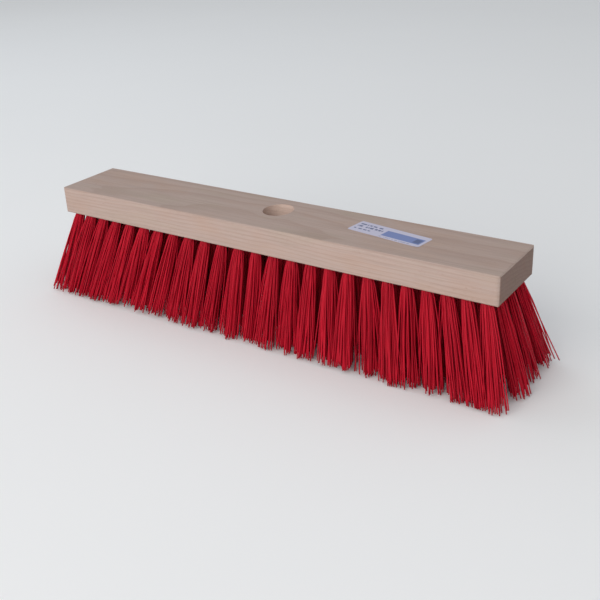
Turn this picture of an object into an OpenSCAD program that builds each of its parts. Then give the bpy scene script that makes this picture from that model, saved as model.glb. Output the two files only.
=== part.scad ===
// Push broom head: a flat beech block, drilled through for a slanted round handle,
// carrying four rows of bristle tufts that fan outwards.
// Each tuft is folded over a flat wire anchor and pulled into its own blind hole.
// Frame: origin on the floor under the middle of the head, X along the block,
// +Y to the back, where the handle leans, and +Z up.

/* [Block] */
// Length of the block
block_l = 400; // [330:1:600]
// Width of the block, front to back
block_w = 62; // [51:1:90]
// Thickness of the block
block_t = 22; // [20:1:30]
// Radius of the block's four upright corners
corner_r = 3; // [1:0.5:6]
// Bevel along the block's long and short edges
edge_bevel = 0.8; // [0.4:0.1:2]

/* [Handle bore] */
// Diameter of the handle that the bore takes
handle_d = 23.6; // [18:0.1:30]
// Play of the handle in the bore, on the diameter
handle_play = 0.4; // [0.1:0.1:1]
// Lean of the handle to the back, from upright
handle_lean = 25; // [0:1:35]
// Place of the bore on the top face, behind the block's middle line
bore_back = 7.5; // [0:0.5:12]

/* [Bristle field] */
// Middle of the end tufts' holes, in from the block's ends
end_margin = 11.4; // [8:0.1:20]
// Middle of the outer rows' holes, in from the block's long sides
side_margin = 7; // [6:0.1:12]
// Closing up of the columns towards the block's ends, in percent
crowding = 5.5; // [0:0.5:8]
// Free length of the bristles below the block
bristle_h = 72; // [40:1:110]
// Outward lean of the end tufts
end_lean = 17.5; // [0:0.5:24]
// Outward lean of the front and back rows
side_lean = 12.5; // [0:0.5:20]

/* [Tufts] */
// Diameter of a tuft's hole
hole_d = 8; // [5:0.1:9.6]
// Depth of a tuft's hole, along its slant
hole_depth = 11.5; // [10:0.5:16]
// Clearance of a tuft in its hole, all round
root_gap = 0.1; // [0.05:0.05:0.3]
// Growth in a tuft's radius just outside its hole, where the filaments spring apart
bloom = 1.6; // [0:0.1:2]
// Length over which the tuft springs apart
bloom_l = 9; // [4:1:20]
// Space left between neighbouring tufts of one row at the floor
tip_gap = 0.8; // [0.6:0.1:6]
// Least wood between a tuft's hole and the handle bore
bore_wall = 1; // [0.5:0.1:4]

/* [Wire anchors] */
// Bite of an anchor into the wood, past each side of the hole
anchor_bite = 0.6; // [0.3:0.1:1]
// Height of the flat wire, along the hole
anchor_h = 2.2; // [1:0.1:3]
// Thickness of the flat wire
anchor_t = 0.5; // [0.3:0.1:0.8]
// Folded filaments between the anchor and the bottom of the hole
fold_l = 2; // [1:0.1:3]
// Turn of the anchors against the block's length, so that they cross the grain
anchor_turn = 35; // [0:5:90]

/* [Label] */
// Length of the paper label on the top face
label_l = 63; // [30:1:90]
// Width of the label
label_w = 19; // [10:1:30]
// Thickness of the label
label_t = 0.2; // [0.1:0.1:0.5]
// Space between the bore's rim and the label
label_gap = 57.5; // [2:0.5:60]
// Place of the label's middle behind the block's middle line
label_back = 2.6; // [-10:0.1:10]
// Turn of the label, seen from above
label_turn = -8; // [-15:1:15]

/* [Hidden] */
$fn = 48;
// rows of tufts across the block, and columns along it
rows = 4;
columns = 25;
bore_r = (handle_d + handle_play) / 2;
row_pitch = (block_w - 2 * side_margin) / (rows - 1);
// places of the last tuft and of the back row
end_x = block_l / 2 - end_margin;
side_y = block_w / 2 - side_margin;
// sideways run of the end tufts and the outer rows, for each millimetre down
end_slope = tan(end_lean);
side_slope = tan(side_lean);
top_z = bristle_h + block_t;
root_r = hole_d / 2 - root_gap;
// pitch of a row's end tufts, the closest, in the block and at the floor, and the tuft that
// leaves tip_gap there; a leaning tuft's cut is longer than it is wide by the lean's slant
end_pitch = end_x - column_x(columns - 2);
tip_pitch = end_pitch * (1 + end_slope * bristle_h / end_x);
slant = norm([end_slope, side_slope, 1]);
tip_r = (tip_pitch - tip_gap) / 2 / slant;
// round part of the tuft, down to where the most slanted one is clear of the hole
collar_l = hole_d * norm([end_slope, side_slope]) / 2 + 4 * root_gap;
anchor_l = hole_d + 2 * anchor_bite;
anchor_z = hole_depth - fold_l - anchor_h;

// sideways run at a place on the underside; the middle of the block stands upright
function lean_at(p) = [p[0] / end_x * end_slope, p[1] / side_y * side_slope];
// unit vector up a tuft's hole
function up_hole(p) = let (s = lean_at(p)) [-s[0], -s[1], 1] / norm([s[0], s[1], 1]);
// distance of a point from the bore's axis; h is its height over the underside
function off_bore(q, h) =
    norm([q[0], (q[1] - bore_back + (block_t - h) * tan(handle_lean)) * cos(handle_lean)]);
// whether a tuft's hole leaves enough wood round the bore, at its mouth, middle and bottom
function clears_bore(p) =
    min([for (d = [0, hole_depth / 2, hole_depth])
        let (u = up_hole(p) * d) off_bore([p[0] + u[0], p[1] + u[1]], u[2])])
    >= bore_r + hole_d / 2 + bore_wall;
// place of a column along the block, from -end_x to end_x; the pitch shrinks towards the ends
function column_x(c) =
    let (u = 2 * c / (columns - 1) - 1, k = crowding / 100) end_x * ((1 + k) * u - k * pow(u, 3));
// places of one column's tufts, but for those that the bore leaves no room for
function column_places(c) = [
    for (r = [0 : rows - 1])
        let (p = [column_x(c), -side_y + r * row_pitch])
        if (clears_bore(p)) p
];
function numbered(name, c) = str(name, c < 9 ? "_0" : "_", c + 1);

// stands its children at the mouth of a tuft's hole, with their +Z up the hole
module at_hole(p) {
    u = up_hole(p);
    translate([p[0], p[1], bristle_h]) rotate([-asin(u[1]), atan2(u[0], u[2]), 0]) children();
}

// outline of the block from above
module plan() {
    square([block_l - 2 * corner_r, block_w], center = true);
    square([block_l, block_w - 2 * corner_r], center = true);
    for (x = [-1, 1], y = [-1, 1])
        translate([x * (block_l / 2 - corner_r), y * (block_w / 2 - corner_r)]) circle(corner_r);
}

// bevelled section of the block across the span s
module bevelled(s) {
    b = edge_bevel;
    h = s / 2;
    polygon([
        [-h, bristle_h + b], [-h + b, bristle_h], [h - b, bristle_h], [h, bristle_h + b],
        [h, top_z - b], [h - b, top_z], [-h + b, top_z], [-h, top_z - b]
    ]);
}

module block_blank() {
    intersection() {
        translate([0, 0, bristle_h]) linear_extrude(block_t) plan();
        rotate([90, 0, 90]) linear_extrude(2 * block_l, center = true) bevelled(block_w);
        rotate([90, 0, 0]) linear_extrude(2 * block_w, center = true) bevelled(block_l);
    }
}

// straight through the block along the handle's lean, past both faces
module handle_bore() {
    reach = block_t + 2 * bore_r;
    translate([0, bore_back, top_z]) rotate([-handle_lean, 0, 0])
        translate([0, 0, -2 * reach]) cylinder(h = 3 * reach, r = bore_r);
}

module anchor(p) {
    at_hole(p) rotate([0, 0, anchor_turn])
        translate([-anchor_l / 2, -anchor_t / 2, anchor_z]) cube([anchor_l, anchor_t, anchor_h]);
}

module tuft_hole(p) {
    at_hole(p) translate([0, 0, -hole_d]) cylinder(h = hole_depth + hole_d, r = hole_d / 2);
}

// round root in the hole, a quick bloom below it, then the long flare down to the floor
module tuft(p) {
    fall = bristle_h * norm([lean_at(p)[0], lean_at(p)[1], 1]);
    bloom_r = root_r + bloom;
    flare_l = fall - collar_l - bloom_l;
    difference() {
        intersection() {
            at_hole(p) rotate_extrude() polygon([
                [0, hole_depth], [root_r, hole_depth], [root_r, -collar_l],
                [bloom_r, -collar_l - bloom_l],
                [tip_r + (tip_r - bloom_r) * tip_r / flare_l, -fall - tip_r],
                [0, -fall - tip_r]
            ]);
            above_floor();
        }
        anchor(p);
    }
}

// everything over the floor, where the bristles are trimmed flat
module above_floor() {
    translate([-block_l, -block_l, 0]) cube([2 * block_l, 2 * block_l, top_z]);
}

module block() {
    color("burlywood") difference() {
        block_blank();
        handle_bore();
        for (c = [0 : columns - 1], p = column_places(c)) {
            tuft_hole(p);
            anchor(p);
        }
    }
}

module label() {
    color("lavender")
        translate([bore_r + label_gap + label_l / 2, label_back, top_z]) rotate([0, 0, label_turn])
            linear_extrude(label_t) square([label_l, label_w], center = true);
}

module tufts(c) {
    color("crimson") for (p = column_places(c)) tuft(p);
}

module anchors(c) {
    color("silver") for (p = column_places(c)) anchor(p);
}

block();
label();
for (c = [0 : columns - 1]) {
    tufts(c);
    anchors(c);
}
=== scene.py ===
"""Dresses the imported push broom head: raw beech, red bristle tufts and a printed paper label."""

import math

import bmesh
import bpy
from bpy.props import FloatProperty, FloatVectorProperty, IntProperty, PointerProperty
from mathutils import Matrix, Vector


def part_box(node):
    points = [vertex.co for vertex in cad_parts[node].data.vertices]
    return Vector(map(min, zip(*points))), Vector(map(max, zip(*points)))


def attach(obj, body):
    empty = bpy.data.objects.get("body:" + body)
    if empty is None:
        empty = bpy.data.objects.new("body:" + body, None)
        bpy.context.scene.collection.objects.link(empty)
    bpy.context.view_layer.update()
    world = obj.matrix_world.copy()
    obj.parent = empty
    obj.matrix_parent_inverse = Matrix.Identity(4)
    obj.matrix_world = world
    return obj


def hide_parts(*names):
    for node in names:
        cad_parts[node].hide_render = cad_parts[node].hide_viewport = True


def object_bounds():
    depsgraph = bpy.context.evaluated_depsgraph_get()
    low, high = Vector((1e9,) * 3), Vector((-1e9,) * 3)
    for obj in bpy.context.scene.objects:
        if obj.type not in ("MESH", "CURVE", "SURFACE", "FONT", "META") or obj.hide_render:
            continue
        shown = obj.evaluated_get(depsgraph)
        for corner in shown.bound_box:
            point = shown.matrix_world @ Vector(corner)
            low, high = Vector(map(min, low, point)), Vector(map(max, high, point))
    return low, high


bl_info = {
    "name": "Push Broom Head",
    "version": (1, 0, 0),
    "blender": (4, 5, 0),
    "location": "3D View > Sidebar > Broom",
    "description": "Builds the bristles, label and finishes of a push broom head around its CAD frame",
    "category": "Object",
}

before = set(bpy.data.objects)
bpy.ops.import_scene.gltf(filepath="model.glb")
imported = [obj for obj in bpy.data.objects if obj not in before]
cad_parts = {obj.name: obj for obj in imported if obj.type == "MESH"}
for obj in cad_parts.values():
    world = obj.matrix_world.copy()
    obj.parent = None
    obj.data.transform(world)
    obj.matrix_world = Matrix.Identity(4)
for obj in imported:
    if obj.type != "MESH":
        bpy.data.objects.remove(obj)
cad_low, cad_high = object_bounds()
block_low, block_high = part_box("block")

BODY = "root"
MM = 0.001
# steps of a filament's path: over the anchor, up its hole, and down to the floor
FOLD_STEPS = 1
HOLE_STEPS = 1
FREE_STEPS = 4
# more than the filaments that a tuft can have, so that no two tufts share a random draw
TUFT_STRIDE = 100
# more than the offsets of one column's draws, so that neighbouring columns differ
SEED_STRIDE = 50


# ---------------------------------------------------------------------------------------------
# Node trees written as Python expressions


class Wire:
    """An output socket of a node. Sums, products and powers of wires add the maths nodes."""

    def __init__(self, nodes, socket):
        self.nodes = nodes
        self.socket = socket

    def vector(self):
        return self.socket.type == "VECTOR"

    def other(self, name):
        """Another output of the same node."""
        found = [s for s in self.socket.node.outputs if s.name == name and s.enabled]
        return Wire(self.nodes, found[0])

    def axis(self, name):
        """The X, Y or Z of a vector."""
        return self.nodes.put("ShaderNodeSeparateXYZ", inputs={"Vector": self}, output=name)

    def __add__(self, other):
        return self.nodes.maths("ADD", self, other)

    def __radd__(self, other):
        return self.nodes.maths("ADD", other, self)

    def __sub__(self, other):
        return self.nodes.maths("SUBTRACT", self, other)

    def __rsub__(self, other):
        return self.nodes.maths("SUBTRACT", other, self)

    def __mul__(self, other):
        return self.nodes.maths("MULTIPLY", self, other)

    def __rmul__(self, other):
        return self.nodes.maths("MULTIPLY", other, self)

    def __truediv__(self, other):
        return self.nodes.maths("DIVIDE", self, other)

    def __pow__(self, other):
        return self.nodes.maths("POWER", self, other)

    def __gt__(self, other):
        return self.nodes.maths("GREATER_THAN", self, other)

    def __lt__(self, other):
        return self.nodes.maths("LESS_THAN", self, other)


def is_vector(value):
    return value.vector() if isinstance(value, Wire) else isinstance(value, (tuple, Vector))


class Nodes:
    """A node tree, written to by naming each node's type, settings and inputs."""

    def __init__(self, tree):
        self.tree = tree

    def put(self, kind, settings=None, inputs=None, output=None):
        """Adds a node and gives one of its outputs, the first that is in use by default."""
        node = self.tree.nodes.new(kind)
        for name, value in (settings or {}).items():
            if name == "stops":
                set_stops(node.color_ramp, value)
            else:
                setattr(node, name, value)
        for name, value in (inputs or {}).items():
            socket = node.inputs[name]
            if isinstance(name, str):
                socket = [s for s in node.inputs if s.name == name and s.enabled][0]
            if isinstance(value, Wire):
                self.tree.links.new(value.socket, socket)
            else:
                socket.default_value = value
        shown = [s for s in node.outputs if s.enabled and output in (None, s.name)]
        return Wire(self, shown[0]) if shown else node

    def maths(self, operation, *values):
        """A sum or other operation on numbers, or on vectors where one of the values is a vector."""
        if not any(is_vector(v) for v in values):
            inputs = dict(enumerate(values))
            return self.put("ShaderNodeMath", {"operation": operation}, inputs)
        if operation == "MULTIPLY" and not all(is_vector(v) for v in values):
            vector, number = sorted(values, key=is_vector, reverse=True)
            settings = {"operation": "SCALE"}
            return self.put("ShaderNodeVectorMath", settings, {0: vector, "Scale": number})
        inputs = dict(enumerate(values))
        return self.put("ShaderNodeVectorMath", {"operation": operation}, inputs)

    def clamp(self, value):
        return self.put("ShaderNodeClamp", inputs={"Value": value})

    def ramp(self, value, *stops):
        """A colour ramp; each stop is a place and a colour or a grey."""
        return self.put("ShaderNodeValToRGB", {"stops": stops}, {"Fac": value}, "Color")

    def step(self, value, low, high):
        """Rises smoothly from 0 to 1 as the value goes from low to high."""
        settings = {"interpolation_type": "SMOOTHSTEP"}
        inputs = {"Value": value, "From Min": low, "From Max": high}
        return self.put("ShaderNodeMapRange", settings, inputs, "Result")

    def mix(self, factor, one, two, blend="MIX"):
        """A mix of two colours."""
        settings = {"data_type": "RGBA", "blend_type": blend}
        return self.put("ShaderNodeMix", settings, {"Factor": factor, "A": one, "B": two})

    def noise(self, place, scale, detail=2.0, roughness=0.5, distortion=0.0):
        inputs = {"Vector": place, "Scale": scale, "Detail": detail}
        inputs.update({"Roughness": roughness, "Distortion": distortion})
        return self.put("ShaderNodeTexNoise", inputs=inputs, output="Fac")


def set_stops(ramp, stops):
    while len(ramp.elements) < len(stops):
        ramp.elements.new(0.5)
    for element, (place, colour) in zip(ramp.elements, stops):
        element.position = place
        element.color = opaque((colour,) * 3 if isinstance(colour, (int, float)) else colour)


def opaque(colour):
    """A colour property as the four numbers that a socket takes."""
    return (*colour, 1)


def shade(colour, factor):
    return tuple(c * factor for c in colour)


def new_material(name, roughness, specular):
    """A material, its node writer, and its shader node, with the constants on the shader."""
    material = bpy.data.materials.new(name)
    material.use_nodes = True
    nodes = Nodes(material.node_tree)
    shader = material.node_tree.nodes["Principled BSDF"]
    shader.inputs["Roughness"].default_value = roughness
    shader.inputs["Specular IOR Level"].default_value = specular
    return material, nodes, shader


def feed(nodes, shader, **wires):
    """Links wires into the shader's sockets; an underline stands for a space."""
    for name, wire in wires.items():
        nodes.tree.links.new(wire.socket, shader.inputs[name.replace("_", " ")])


def bump(nodes, height, depth, strength=1.0):
    inputs = {"Height": height, "Distance": depth, "Strength": strength}
    return nodes.put("ShaderNodeBump", inputs=inputs)


# ---------------------------------------------------------------------------------------------
# Settings


class BroomBlock(bpy.types.PropertyGroup):
    """The beech block's look."""

    pale: FloatVectorProperty(
        name="Pale wood", description="Colour of the wood between its growth rings",
        subtype="COLOR", size=3, min=0, max=1, default=(0.455, 0.343, 0.298),
    )
    ring: FloatVectorProperty(
        name="Ring wood", description="Colour of the denser line of each growth ring",
        subtype="COLOR", size=3, min=0, max=1, default=(0.39, 0.275, 0.23),
    )
    fleck: FloatVectorProperty(
        name="Flecks", description="Colour of the short ray flecks that mark beech",
        subtype="COLOR", size=3, min=0, max=1, default=(0.27, 0.16, 0.11),
    )
    ring_pitch: FloatProperty(
        name="Ring pitch", description="Width of one growth ring",
        subtype="DISTANCE", unit="LENGTH", default=3.1 * MM,
    )
    # darkening of the end faces: partly the end grain's own darker colour, partly painted shade for the
    # ends that the lights reach least
    end_keep_grain_and_shade: FloatProperty(
        name="End grain", description="Share of its colour that the end grain keeps",
        subtype="FACTOR", min=0, max=1, default=0.54,
    )


class BroomBristles(bpy.types.PropertyGroup):
    """The bristle tufts' sizes and look."""

    colour: FloatVectorProperty(
        name="Colour", description="Colour of the plastic filaments",
        subtype="COLOR", size=3, min=0, max=1, default=(0.475, 0.004, 0.020),
    )
    filaments: IntProperty(
        name="Filaments", description="Filaments in a tuft, each folded into two bristles",
        min=4, max=60, default=34,
    )
    thickness: FloatProperty(
        name="Thickness", description="Diameter of a filament",
        subtype="DISTANCE", unit="LENGTH", default=0.9 * MM,
    )
    sides: IntProperty(
        name="Sides", description="Flat sides round a filament", min=3, max=12, default=5,
    )
    root_width: FloatProperty(
        name="Root width", description="Diameter of a tuft in its hole",
        subtype="DISTANCE", unit="LENGTH", default=7.8 * MM,
    )
    tip_width: FloatProperty(
        name="Tip width", description="Diameter of a tuft at the floor",
        subtype="DISTANCE", unit="LENGTH", default=17.0 * MM,
    )
    bloom: FloatProperty(
        name="Bloom", description="Growth in a tuft's radius just outside its hole",
        subtype="DISTANCE", unit="LENGTH", default=1.5 * MM,
    )
    split: FloatProperty(
        name="Split", description="Distance that the anchor drives each half of a tuft outwards",
        subtype="DISTANCE", unit="LENGTH", default=1.4 * MM,
    )
    anchor_depth: FloatProperty(
        name="Anchor depth", description="Middle of the wire anchor, above the hole's mouth",
        subtype="DISTANCE", unit="LENGTH", default=8.4 * MM,
    )
    anchor_turn: FloatProperty(
        name="Anchor turn", description="Turn of the anchors against the block's length",
        subtype="ANGLE", unit="ROTATION", default=math.radians(35),
    )
    sway: FloatProperty(
        name="Tuft sway", description="Furthest that a whole tuft stands off its true lean",
        subtype="DISTANCE", unit="LENGTH", default=3.6 * MM,
    )
    set_left: FloatProperty(
        name="Set", description="Bend of all the bristles to the left, kept from storage",
        subtype="DISTANCE", unit="LENGTH", default=3.5 * MM,
    )
    scatter: FloatProperty(
        name="Scatter", description="Furthest that a bristle's tip stands off its place",
        subtype="DISTANCE", unit="LENGTH", default=3.6 * MM,
    )
    strays: FloatProperty(
        name="Strays", description="Share of the bristles that stand well off their tuft",
        subtype="FACTOR", min=0, max=1, default=0.05,
    )
    ragged: FloatProperty(
        name="Raggedness", description="Difference between the longest and shortest bristles",
        subtype="DISTANCE", unit="LENGTH", default=6.0 * MM,
    )
    seed: IntProperty(
        name="Seed", description="Seed of the bristles' random draws", default=95,
    )


class BroomLabel(bpy.types.PropertyGroup):
    """The paper label's look."""

    paper: FloatVectorProperty(
        name="Paper", description="Colour of the label's paper",
        subtype="COLOR", size=3, min=0, max=1, default=(0.56, 0.54, 0.67),
    )
    ink: FloatVectorProperty(
        name="Ink", description="Colour of the printed panel",
        subtype="COLOR", size=3, min=0, max=1, default=(0.13, 0.19, 0.44),
    )
    corner: FloatProperty(
        name="Corner", description="Radius of the label's corners",
        subtype="DISTANCE", unit="LENGTH", default=1.5 * MM,
    )


class BroomStage(bpy.types.PropertyGroup):
    """The floor, the lights and the camera."""

    azimuth: FloatProperty(
        name="Azimuth", description="Turn of the camera round the head, from straight in front",
        subtype="ANGLE", unit="ROTATION", default=math.radians(34.6),
    )
    elevation: FloatProperty(
        name="Elevation", description="Height of the camera over the head, as an angle",
        subtype="ANGLE", unit="ROTATION", default=math.radians(25.5),
    )
    distance: FloatProperty(
        name="Distance", description="Distance of the camera from its aim",
        subtype="DISTANCE", unit="LENGTH", default=0.743,
    )
    roll: FloatProperty(
        name="Roll", description="Tilt of the camera about its own line of sight",
        subtype="ANGLE", unit="ROTATION", default=math.radians(-2.67),
    )
    lens: FloatProperty(
        name="Lens", description="Focal length of the camera", unit="CAMERA", default=55.9,
    )
    aim_right: FloatProperty(
        name="Aim right", description="Camera's aim, right of the middle of the block",
        subtype="DISTANCE", unit="LENGTH", default=21.7 * MM,
    )
    aim_down: FloatProperty(
        name="Aim down", description="Camera's aim, below the underside of the block",
        subtype="DISTANCE", unit="LENGTH", default=48.1 * MM,
    )
    floor: FloatVectorProperty(
        name="Floor", description="Colour of the floor",
        subtype="COLOR", size=3, min=0, max=1, default=(0.93, 0.93, 0.93),
    )


# ---------------------------------------------------------------------------------------------
# The block and its anchors


def beech(look):
    """Raw sanded beech. Growth rings are cylinders about a pith that lies below the block, so
    they run as lines along its sides and as arcs across its ends."""
    material, nodes, shader = new_material("beech", 0.62, 0.35)
    place = nodes.put("ShaderNodeTexCoord", output="Object")

    def stretched(x, y, z):
        return place * (x, y, z)

    wander = nodes.noise(stretched(5, 14, 14), 1.0, 3, 0.55) - 0.5
    across = (place + (0, 0.024, 0.052)) * (0.10, 1, 1)
    radius = nodes.put("ShaderNodeVectorMath", {"operation": "LENGTH"}, {0: across}, "Value")
    turns = (radius + wander * 0.012) / look.ring_pitch
    phase = nodes.maths("FRACT", turns)
    late = nodes.step(phase, 0.45, 0.95) * (1 - nodes.step(phase, 0.95, 1.0))

    fibres = nodes.noise(stretched(22, 1100, 1100), 1.0, 3, 0.6)
    streaks = nodes.noise(stretched(7, 260, 260), 1.0, 4, 0.6)
    mottle = nodes.noise(stretched(14, 34, 34), 1.0, 3, 0.6)
    flecks = nodes.step(nodes.noise(stretched(330, 1700, 1700), 1.0, 1, 0.5), 0.66, 0.74)
    patches = nodes.step(nodes.noise(stretched(20, 70, 70), 1.0, 2, 0.5), 0.35, 0.7)
    pores = nodes.step(nodes.noise(stretched(160, 4200, 4200), 1.0, 1, 0.5), 0.62, 0.7)

    colour = nodes.mix(late * 0.55, opaque(look.pale), opaque(look.ring))
    colour = nodes.mix(nodes.step(streaks, 0.42, 0.75) * 0.34, colour, opaque(look.ring))
    warm = nodes.ramp(mottle, (0.3, (1.0, 0.93, 0.86)), (0.5, 1.0), (0.7, (0.95, 0.985, 0.93)))
    colour = nodes.mix(0.75, colour, warm, "MULTIPLY")
    grey = nodes.ramp(fibres, (0.3, 0.86), (0.55, 1.0), (0.8, 1.06))
    colour = nodes.mix(0.8, colour, grey, "MULTIPLY")
    colour = nodes.mix(flecks * patches * 0.42, colour, opaque(look.fleck))
    colour = nodes.mix(pores * 0.12, colour, opaque(look.fleck))

    normal = nodes.put("ShaderNodeNewGeometry", output="Normal")
    facing = nodes.maths("ABSOLUTE", normal.axis("X"))
    along = nodes.maths("ABSOLUTE", place.axis("X"))
    end_grain = nodes.step(facing, 0.75, 0.97) * (along > 0.95 * block_high.x)
    # painted light: the bore's upright wall is lightened in colour, as if lit, to stand in for light
    # falling into the bore
    near_bore = 15 * MM
    inside = nodes.maths("ABSOLUTE", place.axis("Y")) < block_high.y - 1 * MM
    upright = nodes.maths("ABSOLUTE", normal.axis("Z")) < 0.6
    bore_painted_light = inside * upright * (along < near_bore)
    colour = nodes.mix(bore_painted_light, colour, nodes.mix(1.0, colour, (1.28, 1.26, 1.22, 1), "MULTIPLY"))
    # end faces darkened: partly darker end grain, partly painted shade on the shaded ends
    colour = nodes.mix(end_grain, colour, nodes.mix(1.0, colour, end_tint_grain_and_shade(look), "MULTIPLY"))

    feed(nodes, shader, Base_Color=colour)
    feed(nodes, shader, Roughness=nodes.clamp(0.56 + fibres * 0.14 + end_grain * 0.1))
    height = fibres * 0.5 + streaks * 0.5 - pores * 0.5 - flecks * patches * 0.4
    feed(nodes, shader, Normal=bump(nodes, height, 0.12 * MM, 0.55))
    return material


# tint of the end faces: partly end grain colour, partly painted shade
def end_tint_grain_and_shade(look):
    keep = look.end_keep_grain_and_shade
    return opaque((keep, keep * 0.87, keep * 0.82))


def galvanised():
    """Flat galvanised anchor wire, drawn lengthwise."""
    material, nodes, shader = new_material("anchor_wire", 0.4, 0.5)
    place = nodes.put("ShaderNodeTexCoord", output="Object")
    spangle = nodes.noise(place, 900.0, 2)
    drawn = nodes.noise(place * (120, 2600, 2600), 1.0, 2)
    shader.inputs["Metallic"].default_value = 1.0
    feed(nodes, shader, Base_Color=nodes.ramp(spangle, (0.3, 0.50), (0.7, 0.72)))
    feed(nodes, shader, Roughness=nodes.clamp(0.3 + drawn * 0.25))
    return material


def paint(node, material):
    """Gives a CAD node's object a material."""
    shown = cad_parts[node]
    if not shown.material_slots:
        shown.data.materials.append(material)
    for slot in shown.material_slots:
        slot.material = material


class BROOM_OT_block(bpy.types.Operator):
    """Finish the CAD block as raw beech"""

    bl_idname = "broom.block"
    bl_label = "Beech Block"

    def execute(self, context):
        paint("block", beech(context.scene.broom_block))
        return {"FINISHED"}


class BROOM_OT_anchors(bpy.types.Operator):
    """Finish the CAD anchors, which sit in the tufts' folds, as galvanised wire"""

    bl_idname = "broom.anchors"
    bl_label = "Wire Anchors"

    def execute(self, context):
        material = galvanised()
        for node in numbered("anchors"):
            paint(node, material)
        return {"FINISHED"}


# ---------------------------------------------------------------------------------------------
# Bristles


def numbered(kind):
    """The CAD nodes of one kind, in the order of their numbers."""
    return sorted(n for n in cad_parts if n.startswith(kind + "_"))


def mean(points):
    return sum(points, Vector()) / len(points)


def islands(mesh):
    """The corner points of each separate solid in a mesh."""
    work = bmesh.new()
    work.from_mesh(mesh)
    bmesh.ops.remove_doubles(work, verts=work.verts, dist=0.001 * MM)
    left = set(work.verts)
    while left:
        reached = [left.pop()]
        for vertex in reached:
            near = {edge.other_vert(vertex) for edge in vertex.link_edges} & left
            left -= near
            reached.extend(near)
        yield [vertex.co.copy() for vertex in reached]
    work.free()


def tuft_line(points):
    """Where a CAD tuft's axis leaves the block, and where it meets the floor."""
    tip = mean([p for p in points if p.z < 0.01 * MM])
    up = (mean([p for p in points if p.z > block_low.z]) - tip).normalized()
    reach = max((p - tip).dot(up) for p in points)
    root = mean([p for p in points if (p - tip).dot(up) > reach - 0.3 * MM])
    share = (block_low.z - tip.z) / (root.z - tip.z)
    return tip.lerp(root, share), tip


def tuft_points(node, number):
    """A mesh with one point at each of a column's holes, which knows where its tuft ends."""
    lines = sorted((tuft_line(i) for i in islands(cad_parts[node].data)), key=lambda t: t[0].y)
    mesh = bpy.data.meshes.new(f"tuft_points_{number}")
    mesh.from_pydata([mouth for mouth, _ in lines], [], [])
    mesh.attributes.new("tip", "FLOAT_VECTOR", "POINT")
    for item, (_, tip) in zip(mesh.attributes["tip"].data, lines):
        item.vector = tip
    return bpy.data.objects.new(f"tuft_points_{number}", mesh)


BRISTLE_INPUTS = (
    ("Filaments", "NodeSocketInt"),
    ("Thickness", "NodeSocketFloat"),
    ("Sides", "NodeSocketInt"),
    ("Root Width", "NodeSocketFloat"),
    ("Tip Width", "NodeSocketFloat"),
    ("Bloom", "NodeSocketFloat"),
    ("Split", "NodeSocketFloat"),
    ("Anchor Depth", "NodeSocketFloat"),
    ("Anchor Turn", "NodeSocketFloat"),
    ("Sway", "NodeSocketFloat"),
    ("Set", "NodeSocketFloat"),
    ("Scatter", "NodeSocketFloat"),
    ("Reach", "NodeSocketFloat"),
    ("Strays", "NodeSocketFloat"),
    ("Ragged", "NodeSocketFloat"),
    ("Seed", "NodeSocketInt"),
    ("Material", "NodeSocketMaterial"),
)


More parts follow.
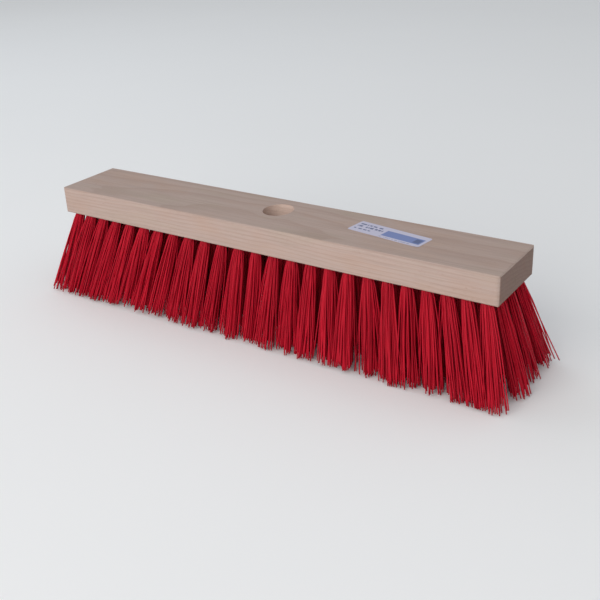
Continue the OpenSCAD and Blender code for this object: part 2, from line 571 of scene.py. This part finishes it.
def bristle_tree():
    """Turns each point into a tuft. A filament comes up from the floor, goes over the anchor in
    the hole and back down again, so it is one tube with two free ends."""
    tree = bpy.data.node_groups.new("bristle_tufts", "GeometryNodeTree")
    tree.interface.new_socket("Geometry", in_out="INPUT", socket_type="NodeSocketGeometry")
    for name, kind in BRISTLE_INPUTS:
        tree.interface.new_socket(name, in_out="INPUT", socket_type=kind)
    tree.interface.new_socket("Geometry", in_out="OUTPUT", socket_type="NodeSocketGeometry")
    nodes = Nodes(tree)
    given = nodes.put("NodeGroupInput")

    # one point for each step along each filament
    arm = FOLD_STEPS + HOLE_STEPS + FREE_STEPS
    steps = 2 * arm + 1
    index = nodes.put("GeometryNodeInputIndex")
    points = nodes.put("GeometryNodeMeshToPoints", inputs={"Mesh": given})
    points = store(nodes, points, "tuft", index, "INT")
    inputs = {"Geometry": points, "Amount": given.other("Filaments") * steps}
    points = nodes.put("GeometryNodeDuplicateElements", {"domain": "POINT"}, inputs)
    count = points.other("Duplicate Index")
    filament = nodes.maths("FLOOR", (count + 0.5) / steps)
    points = store(nodes, points, "filament", filament, "INT")
    points = store(nodes, points, "step", count - filament * steps, "INT")

    tuft = named(nodes, "tuft", "INT")
    filament = named(nodes, "filament", "INT")
    step = named(nodes, "step", "INT") - arm
    curve = tuft * TUFT_STRIDE + filament
    side = nodes.maths("SIGN", step)
    leg = curve * 2 + (step > 0)
    away = nodes.maths("ABSOLUTE", step)
    fold = nodes.maths("MINIMUM", away / FOLD_STEPS, 1.0) * (math.pi / 2)
    climb = nodes.clamp((away - FOLD_STEPS) / HOLE_STEPS)
    fall = nodes.clamp((away - FOLD_STEPS - HOLE_STEPS) / FREE_STEPS) ** 1.6

    def draw(identity, offset, low=0.0, high=1.0):
        """A random number that is the same along the whole of one tuft or bristle."""
        inputs = {"Min": low, "Max": high, "ID": identity, "Seed": given.other("Seed") + offset}
        return nodes.put("FunctionNodeRandomValue", {"data_type": "FLOAT"}, inputs)

    def draw_flat(identity, offset):
        """A random step in the floor's plane."""
        around = draw(identity, offset, 0.0, 2 * math.pi)
        reach = nodes.maths("SQRT", draw(identity, offset + 1))
        inputs = {"X": nodes.maths("COSINE", around), "Y": nodes.maths("SINE", around)}
        return nodes.put("ShaderNodeCombineXYZ", inputs=inputs) * reach

    def product(operation, one, two):
        inputs = {0: one, 1: two}
        return nodes.put("ShaderNodeVectorMath", {"operation": operation}, inputs)

    def unit(vector):
        return nodes.put("ShaderNodeVectorMath", {"operation": "NORMALIZE"}, {0: vector})

    # the hole's own directions: up it, along its anchor, and across its anchor
    mouth = nodes.put("GeometryNodeInputPosition")
    tip = named(nodes, "tip", "FLOAT_VECTOR")
    up = unit(mouth - tip)
    right = unit(product("CROSS_PRODUCT", (0.0, 1.0, 0.0), up))
    back = product("CROSS_PRODUCT", up, right)
    turn = given.other("Anchor Turn")
    cosine, sine = nodes.maths("COSINE", turn), nodes.maths("SINE", turn)
    along_anchor = right * cosine + back * sine
    over_anchor = back * cosine - right * sine

    # a filament's place in the tuft: two mirrored half discs, evenly filled
    thickness = given.other("Thickness")
    root_reach = given.other("Root Width") / 2 - thickness / 2
    tip_reach = given.other("Tip Width") / 2 - thickness / 2
    golden = math.pi * (3 - math.sqrt(5))
    angle = nodes.maths("MODULO", filament * golden, math.pi)
    reach = nodes.maths("SQRT", (filament + 0.5) / given.other("Filaments"))
    disc_along = reach * nodes.maths("COSINE", angle)
    disc_over = reach * nodes.maths("SINE", angle)

    # over the anchor and through the hole
    clear = thickness * 0.7
    aside = (clear + disc_over * (root_reach - clear)) * nodes.maths("SINE", fold) * side
    rooted = along_anchor * (disc_along * root_reach) + over_anchor * aside
    rise = thickness * (1.45 + disc_over * 0.6) * nodes.maths("COSINE", fold)
    high = given.other("Anchor Depth") * (1 - climb) + rise
    start = mouth + rooted + up * high

    # down to the floor, each bristle towards its own place in its tuft's tip
    spread = (tip_reach / root_reach) * draw(tuft, 11, 0.86, 1.04)
    stray = 1 + (draw(leg, 12) < given.other("Strays")) * 1.5
    off = draw_flat(tuft, 13) * given.other("Sway") + (-1.0, 0.0, 0.0) * given.other("Set")
    off = off + draw_flat(leg, 15) * given.other("Scatter") * stray
    end = tip + rooted * spread + over_anchor * (side * given.other("Split")) + off
    cut = draw(leg, 17) ** 2.0 * given.other("Ragged")
    cut = cut + draw(tuft, 18) ** 2.0 * given.other("Ragged") * 0.35 + thickness * 0.3
    limit = given.other("Reach") - draw(leg, 24) ** 2.0 * (thickness * 4)
    across = nodes.maths("MINIMUM", nodes.maths("MAXIMUM", end.axis("Y"), limit * -1.0), limit)
    inputs = {"X": end.axis("X"), "Y": across, "Z": cut}
    flat_end = nodes.put("ShaderNodeCombineXYZ", inputs=inputs)
    free = 1 - nodes.maths("EXPONENT", fall * -9.0)
    bulge = rooted * ((free - fall) * given.other("Bloom") / root_reach)
    bulge = bulge + over_anchor * (side * given.other("Split") * (free - fall))
    curl = draw_flat(leg, 19) * (fall * (1 - fall) * 4 * given.other("Scatter") * 0.45)
    place = start + (flat_end - start) * fall + bulge + curl
    points = nodes.put("GeometryNodeSetPosition", inputs={"Geometry": points, "Position": place})

    points = store(nodes, points, "tone", draw(leg, 21))
    points = store(nodes, points, "tuft_tone", draw(tuft, 22))
    points = store(nodes, points, "fall", fall)
    inputs = {"Points": points, "Curve Group ID": curve, "Weight": step}
    curves = nodes.put("GeometryNodePointsToCurves", inputs=inputs)
    inputs = {"Curve": curves, "Radius": draw(leg, 23, 0.9, 1.06)}
    curves = nodes.put("GeometryNodeSetCurveRadius", inputs=inputs)
    inputs = {"Resolution": given.other("Sides"), "Radius": thickness / 2}
    ring = nodes.put("GeometryNodeCurvePrimitiveCircle", inputs=inputs, output="Curve")
    radius = nodes.put("GeometryNodeInputRadius")
    inputs = {"Curve": curves, "Profile Curve": ring, "Scale": radius, "Fill Caps": True}
    tubes = nodes.put("GeometryNodeCurveToMesh", inputs=inputs)
    tubes = nodes.put("GeometryNodeSetShadeSmooth", inputs={"Geometry": tubes})
    tubes = nodes.put("GeometryNodeRealizeInstances", inputs={"Geometry": tubes})
    inputs = {"Geometry": tubes, "Material": given.other("Material")}
    tubes = nodes.put("GeometryNodeSetMaterial", inputs=inputs)
    nodes.put("NodeGroupOutput", inputs={"Geometry": tubes})
    return tree


def store(nodes, geometry, name, value, kind="FLOAT"):
    settings = {"data_type": kind, "domain": "POINT"}
    inputs = {"Geometry": geometry, "Name": name, "Value": value}
    return nodes.put("GeometryNodeStoreNamedAttribute", settings, inputs)


def named(nodes, name, kind="FLOAT"):
    settings = {"data_type": kind}
    return nodes.put("GeometryNodeInputNamedAttribute", settings, {"Name": name}, "Attribute")


def grow(source, tree, values, name):
    """Runs the tree on an object and gives the result as a plain mesh object."""
    bpy.context.scene.collection.objects.link(source)
    modifier = source.modifiers.new("Bristles", "NODES")
    modifier.node_group = tree
    sockets = {s.name: s.identifier for s in tree.interface.items_tree if s.in_out == "INPUT"}
    for label, value in values.items():
        modifier[sockets[label]] = value
    graph = bpy.context.evaluated_depsgraph_get()
    shown = source.evaluated_get(graph)
    mesh = bpy.data.meshes.new_from_object(
        shown, preserve_all_data_layers=True, depsgraph=graph
    )
    bpy.data.objects.remove(source)
    mesh.name = name
    piece = bpy.data.objects.new(name, mesh)
    bpy.context.scene.collection.objects.link(piece)
    return piece


def filament_plastic(look):
    """Extruded red filament: each one its own tone, a satin skin, a cut, dusty tip, and painted shade
    darkening it towards the root.
    """
    material, nodes, shader = new_material("bristle", 0.45, 0.14)
    tone = attribute(nodes, "tone")
    tuft_tone = attribute(nodes, "tuft_tone")
    fall = attribute(nodes, "fall")
    place = nodes.put("ShaderNodeTexCoord", output="Object")

    mixed = nodes.clamp(tone * 0.75 + tuft_tone * 0.25)
    red = look.colour
    stops = ((0.1, shade(red, 0.82)), (0.5, red), (0.9, lighter(red)))
    colour = nodes.ramp(mixed, *stops)
    dust = nodes.noise(place, 260.0, 3, 0.6)
    tip = nodes.step(fall + (dust - 0.5) * 0.04, 0.955, 0.995)
    colour = nodes.mix(tip * 0.5, colour, opaque(shade(red, 0.45)))
    # painted shade: the filaments darken towards their roots, where the block and the packed tuft shade
    # them
    root = 1 - nodes.step(fall, 0.0, 0.10)
    colour = nodes.mix(root * 0.35, colour, opaque(shade(red, 0.5)))
    feed(nodes, shader, Base_Color=colour)
    feed(nodes, shader, Roughness=nodes.clamp(0.33 + dust * 0.14 + tip * 0.2))
    drawn = nodes.noise(place * (1500, 1500, 60), 1.0, 2)
    feed(nodes, shader, Normal=bump(nodes, drawn, 0.03 * MM, 0.5))
    return material


def lighter(colour):
    """A filament's palest tone: a little more of each primary."""
    return tuple(min(1.0, c * 1.12 + 0.004) for c in colour)


def attribute(nodes, name):
    settings = {"attribute_name": name, "attribute_type": "GEOMETRY"}
    return nodes.put("ShaderNodeAttribute", settings, output="Fac")


class BROOM_OT_bristles(bpy.types.Operator):
    """Grow the filaments of every tuft where the CAD tufts stand"""

    bl_idname = "broom.bristles"
    bl_label = "Bristle Tufts"

    def execute(self, context):
        look = context.scene.broom_bristles
        tree = bristle_tree()
        values = {
            "Filaments": look.filaments,
            "Thickness": look.thickness,
            "Sides": look.sides,
            "Root Width": look.root_width,
            "Tip Width": look.tip_width,
            "Bloom": look.bloom,
            "Split": look.split,
            "Anchor Depth": look.anchor_depth,
            "Anchor Turn": look.anchor_turn,
            "Sway": look.sway,
            "Set": look.set_left,
            "Scatter": look.scatter,
            "Reach": cad_high.y * 1.02,
            "Strays": look.strays,
            "Ragged": look.ragged,
            "Material": filament_plastic(look),
        }
        for number, node in enumerate(numbered("tufts"), 1):
            values["Seed"] = look.seed + SEED_STRIDE * number
            piece = grow(tuft_points(node, number), tree, values, f"bristles_{number:02d}")
            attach(piece, BODY)
            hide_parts(node)
        return {"FINISHED"}


# ---------------------------------------------------------------------------------------------
# Label


def label_place():
    """The CAD label's middle on the block, its length and width, and its turn."""
    points = [v.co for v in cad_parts["label"].data.vertices]
    middle = mean([p for p in points if p.z < block_high.z + 0.01 * MM])
    corners = sorted({(round(p.x, 6), round(p.y, 6)) for p in points})
    left = mean([Vector((x, y, 0)) for x, y in corners[:2]])
    right = mean([Vector((x, y, 0)) for x, y in corners[2:]])
    width = (Vector(corners[0]) - Vector(corners[1])).length
    run = right - left
    return middle, run.length, width, math.atan2(run.y, run.x)


def label_sheet(corner):
    """A thin sheet with round corners, one of which has begun to lift."""
    middle, length, width, turn = label_place()
    columns, rows, thick = 42, 12, 0.12 * MM
    lift_from, lift_height = 0.86, 0.35 * MM
    work = bmesh.new()
    uv = work.loops.layers.uv.new("label")
    grid = []
    for row in range(rows + 1):
        for column in range(columns + 1):
            x, y = (column / columns - 0.5) * length, (row / rows - 0.5) * width
            grid.append(work.verts.new((*rounded(x, y, length, width, corner), 0)))
    for row in range(rows):
        for column in range(columns):
            first = row * (columns + 1) + column
            corners = (first, first + 1, first + columns + 2, first + columns + 1)
            face = work.faces.new([grid[i] for i in corners])
            for loop in face.loops:
                x, y = loop.vert.co.xy
                loop[uv].uv = (x / length + 0.5, y / width + 0.5)
    for vertex in grid:
        x, y = vertex.co.xy
        near = max(0.0, (x / length - y / width - lift_from) / (1 - lift_from))
        waves = 0.02 * MM * math.sin(x * 210) * math.cos(y * 330)
        vertex.co.z = lift_height * near ** 2 + waves
    shell = bmesh.ops.extrude_face_region(work, geom=work.faces[:])
    for item in shell["geom"]:
        if isinstance(item, bmesh.types.BMVert):
            item.co.z += thick
    bmesh.ops.recalc_face_normals(work, faces=work.faces[:])
    mesh = bpy.data.meshes.new("paper_label")
    work.to_mesh(mesh)
    work.free()
    place = Matrix.Translation(middle + Vector((0, 0, 0.03 * MM))) @ Matrix.Rotation(turn, 4, "Z")
    mesh.transform(place)
    mesh.shade_smooth()
    mesh.set_sharp_from_angle(angle=math.radians(40))
    piece = bpy.data.objects.new("paper_label", mesh)
    bpy.context.scene.collection.objects.link(piece)
    return piece


def rounded(x, y, length, width, corner):
    """A point of a rectangle, pulled in where it lies outside a rounded corner."""
    over = Vector((abs(x) - length / 2 + corner, abs(y) - width / 2 + corner))
    if min(over) <= 0 or over.length <= corner:
        return x, y
    over = over.normalized() * corner
    return (
        math.copysign(length / 2 - corner + over.x, x),
        math.copysign(width / 2 - corner + over.y, y),
    )


def printed_paper(look):
    """Label paper with a plain printed panel, and rows of dashes that stand for small print."""
    material, nodes, shader = new_material("label_paper", 0.5, 0.4)
    where = nodes.put("ShaderNodeUVMap", {"uv_map": "label"})
    u, v = where.axis("X"), where.axis("Y")

    def between(value, low, high, soft):
        return nodes.step(value, low - soft, low + soft) * (1 - nodes.step(value, high - soft, high + soft))

    def dashes(row_low, row_high, left, right, pitch, seed):
        """One row of short dashes of uneven length."""
        cell = nodes.maths("FLOOR", u / pitch) + seed
        chance = nodes.put("ShaderNodeTexWhiteNoise", {"noise_dimensions": "1D"}, {"W": cell}, "Value")
        mark = chance > 0.28
        return between(v, row_low, row_high, 0.012) * between(u, left, right, 0.003) * mark

    panel = between(u, 0.44, 0.965, 0.004) * between(v, 0.20, 0.72, 0.015)
    bars = dashes(0.28, 0.64, 0.86, 0.95, 0.011, 3.0)
    print_rows = dashes(0.70, 0.80, 0.04, 0.36, 0.017, 11.0)
    print_rows = print_rows + dashes(0.47, 0.60, 0.04, 0.40, 0.012, 29.0)
    print_rows = print_rows + dashes(0.24, 0.32, 0.04, 0.30, 0.017, 47.0)
    small = dashes(0.06, 0.12, 0.44, 0.90, 0.012, 71.0)

    place = nodes.put("ShaderNodeTexCoord", output="Object")
    pulp = nodes.noise(place, 1500.0, 3, 0.6)
    paper = nodes.mix(0.5, opaque(look.paper), nodes.ramp(pulp, (0.3, 0.9), (0.7, 1.0)), "MULTIPLY")
    dark = opaque(shade(look.ink, 0.45))
    colour = nodes.mix(panel * 0.92, paper, opaque(look.ink))
    colour = nodes.mix(panel * bars * 0.8, colour, dark)
    colour = nodes.mix(nodes.clamp(print_rows) * 0.85, colour, dark)
    colour = nodes.mix(small * 0.45, colour, dark)
    feed(nodes, shader, Base_Color=colour)
    feed(nodes, shader, Roughness=nodes.clamp(0.5 - panel * 0.16 + pulp * 0.1))
    feed(nodes, shader, Normal=bump(nodes, pulp, 0.02 * MM, 0.4))
    return material


class BROOM_OT_label(bpy.types.Operator):
    """Lay the printed paper label where the CAD label lies"""

    bl_idname = "broom.label"
    bl_label = "Paper Label"

    def execute(self, context):
        look = context.scene.broom_label
        piece = label_sheet(look.corner)
        piece.data.materials.append(printed_paper(look))
        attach(piece, BODY)
        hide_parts("label")
        return {"FINISHED"}


# ---------------------------------------------------------------------------------------------
# Stage


def floor_sheet(colour):
    """A wide pale floor under the bristle tips."""
    material, nodes, shader = new_material("floor", 0.9, 0.1)
    place = nodes.put("ShaderNodeTexCoord", output="Object")
    cloud = nodes.noise(place, 3.0, 2)
    tint = nodes.ramp(cloud, (0.3, shade(colour, 0.99)), (0.7, tuple(colour)))
    feed(nodes, shader, Base_Color=tint)
    mesh = bpy.data.meshes.new("floor")
    reach = 6.0
    corners = [(-reach, -reach, 0), (reach, -reach, 0), (reach, reach, 0), (-reach, reach, 0)]
    mesh.from_pydata(corners, [], [(0, 1, 2, 3)])
    mesh.materials.append(material)
    piece = bpy.data.objects.new("floor", mesh)
    bpy.context.scene.collection.objects.link(piece)


def area_light(name, direction, distance, size, power, colour, aim):
    """A soft square light that shines at the aim from a direction."""
    data = bpy.data.lights.new(name, "AREA")
    data.size, data.energy, data.color = size, power, colour
    lamp = bpy.data.objects.new(name, data)
    back = Vector(direction).normalized()
    turned = back.to_track_quat("Z", "Y").to_matrix().to_4x4()
    lamp.matrix_world = Matrix.Translation(aim + back * distance) @ turned
    bpy.context.scene.collection.objects.link(lamp)


def camera(look):
    """The camera, turned about its own line of sight by its roll."""
    cosine = math.cos(look.elevation)
    back = Vector((
        math.sin(look.azimuth) * cosine, -math.cos(look.azimuth) * cosine, math.sin(look.elevation)
    ))
    aim = Vector((look.aim_right, 0, block_low.z - look.aim_down))
    data = bpy.data.cameras.new("camera")
    data.lens = look.lens
    data.sensor_width = 36
    shot = bpy.data.objects.new("camera", data)
    level = (-back).to_track_quat("-Z", "Y").to_matrix().to_4x4()
    roll = Matrix.Rotation(look.roll, 4, "Z")
    shot.matrix_world = Matrix.Translation(aim + back * look.distance) @ level @ roll
    bpy.context.scene.collection.objects.link(shot)
    bpy.context.scene.camera = shot


class BROOM_OT_stage(bpy.types.Operator):
    """Set the floor, the soft lights and the camera"""

    bl_idname = "broom.stage"
    bl_label = "Stage"

    def execute(self, context):
        look = context.scene.broom_stage
        floor_sheet(look.floor)
        aim = (cad_low + cad_high) / 2
        area_light("key", (-0.12, -1.0, 0.48), 2.3, 2.0, 29, (1.0, 0.97, 0.94), aim)
        area_light("fill", (0.45, -0.9, 0.36), 2.4, 1.6, 7, (1.0, 0.98, 0.96), aim)
        area_light("overhead", (-1.0, 0.2, 1.0), 1.9, 1.4, 4, (0.82, 0.91, 1.0), aim)
        world = bpy.data.worlds.new("studio")
        world.use_nodes = True
        world.node_tree.nodes["Background"].inputs["Color"].default_value = (0.94, 0.97, 1, 1)
        world.node_tree.nodes["Background"].inputs["Strength"].default_value = 0.55
        context.scene.world = world
        context.scene.view_settings.view_transform = "Standard"
        camera(look)
        return {"FINISHED"}


# ---------------------------------------------------------------------------------------------
# Panel and registration


class BROOM_PT_panel(bpy.types.Panel):
    """Lists the steps that build the broom head, with their settings"""

    bl_idname = "BROOM_PT_panel"
    bl_label = "Push Broom Head"
    bl_space_type = "VIEW_3D"
    bl_region_type = "UI"
    bl_category = "Broom"

    def draw(self, context):
        for operator, group in STEPS:
            box = self.layout.box()
            box.operator(operator)
            settings = getattr(context.scene, group, None)
            for name in type(settings).__annotations__ if settings else ():
                box.prop(settings, name)


STEPS = (
    ("broom.block", "broom_block"),
    ("broom.anchors", ""),
    ("broom.bristles", "broom_bristles"),
    ("broom.label", "broom_label"),
    ("broom.stage", "broom_stage"),
)
GROUPS = {
    "broom_block": BroomBlock,
    "broom_bristles": BroomBristles,
    "broom_label": BroomLabel,
    "broom_stage": BroomStage,
}
CLASSES = (
    *GROUPS.values(),
    BROOM_OT_block,
    BROOM_OT_anchors,
    BROOM_OT_bristles,
    BROOM_OT_label,
    BROOM_OT_stage,
    BROOM_PT_panel,
)


def register():
    for cls in CLASSES:
        bpy.utils.register_class(cls)
    for name, group in GROUPS.items():
        setattr(bpy.types.Scene, name, PointerProperty(type=group))


def unregister():
    for name in GROUPS:
        delattr(bpy.types.Scene, name)
    for cls in reversed(CLASSES):
        bpy.utils.unregister_class(cls)


def main():
    register()
    bpy.ops.broom.block()
    bpy.ops.broom.anchors()
    bpy.ops.broom.bristles()
    bpy.ops.broom.label()
    bpy.ops.broom.stage()


if __name__ == "__main__":
    main()
